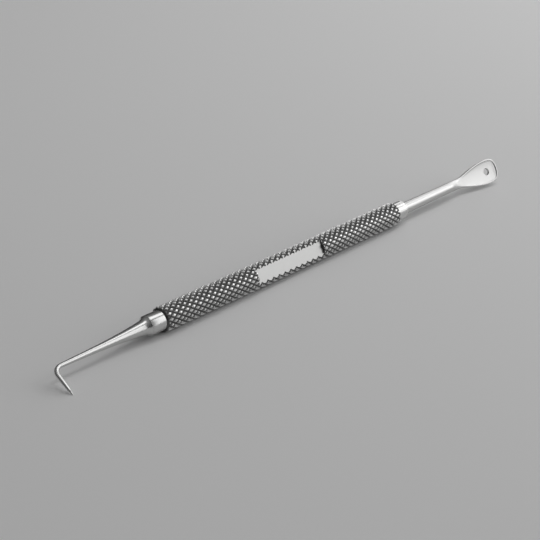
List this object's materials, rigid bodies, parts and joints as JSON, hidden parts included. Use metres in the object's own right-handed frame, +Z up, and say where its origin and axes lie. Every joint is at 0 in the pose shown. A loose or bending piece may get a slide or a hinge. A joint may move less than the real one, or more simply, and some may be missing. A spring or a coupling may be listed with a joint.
{
  "type": "blackhead extractor",
  "caption": "Steel skin tool with a round knurled grip, a bent pointed lancet at one end and a small dished spoon with an extraction hole at the other.",
  "frame": {"origin": "on the table, under the middle of the tool's bounding box, with the tool lying on its grip and its lancet's point", "axes": "+X along the grip from the lancet to the spoon, +Y away from the side that the lancet and the spoon's face look to, +Z up"},
  "size_m": [0.1586, 0.0102, 0.0069],
  "materials": {
    "grip_steel": "fine satin blasted stainless steel, knurled",
    "collar_steel": "turned and lightly polished stainless steel",
    "lancet_steel": "ground and polished stainless steel",
    "spoon_steel": "satin polished stainless steel"
  },
  "bodies": {
    "root": {"knurled_grip": "grip_steel", "front_collar": "collar_steel", "rear_collar": "collar_steel", "bent_lancet": "lancet_steel", "spoon_tip": "spoon_steel"}
  },
  "joints": []
}
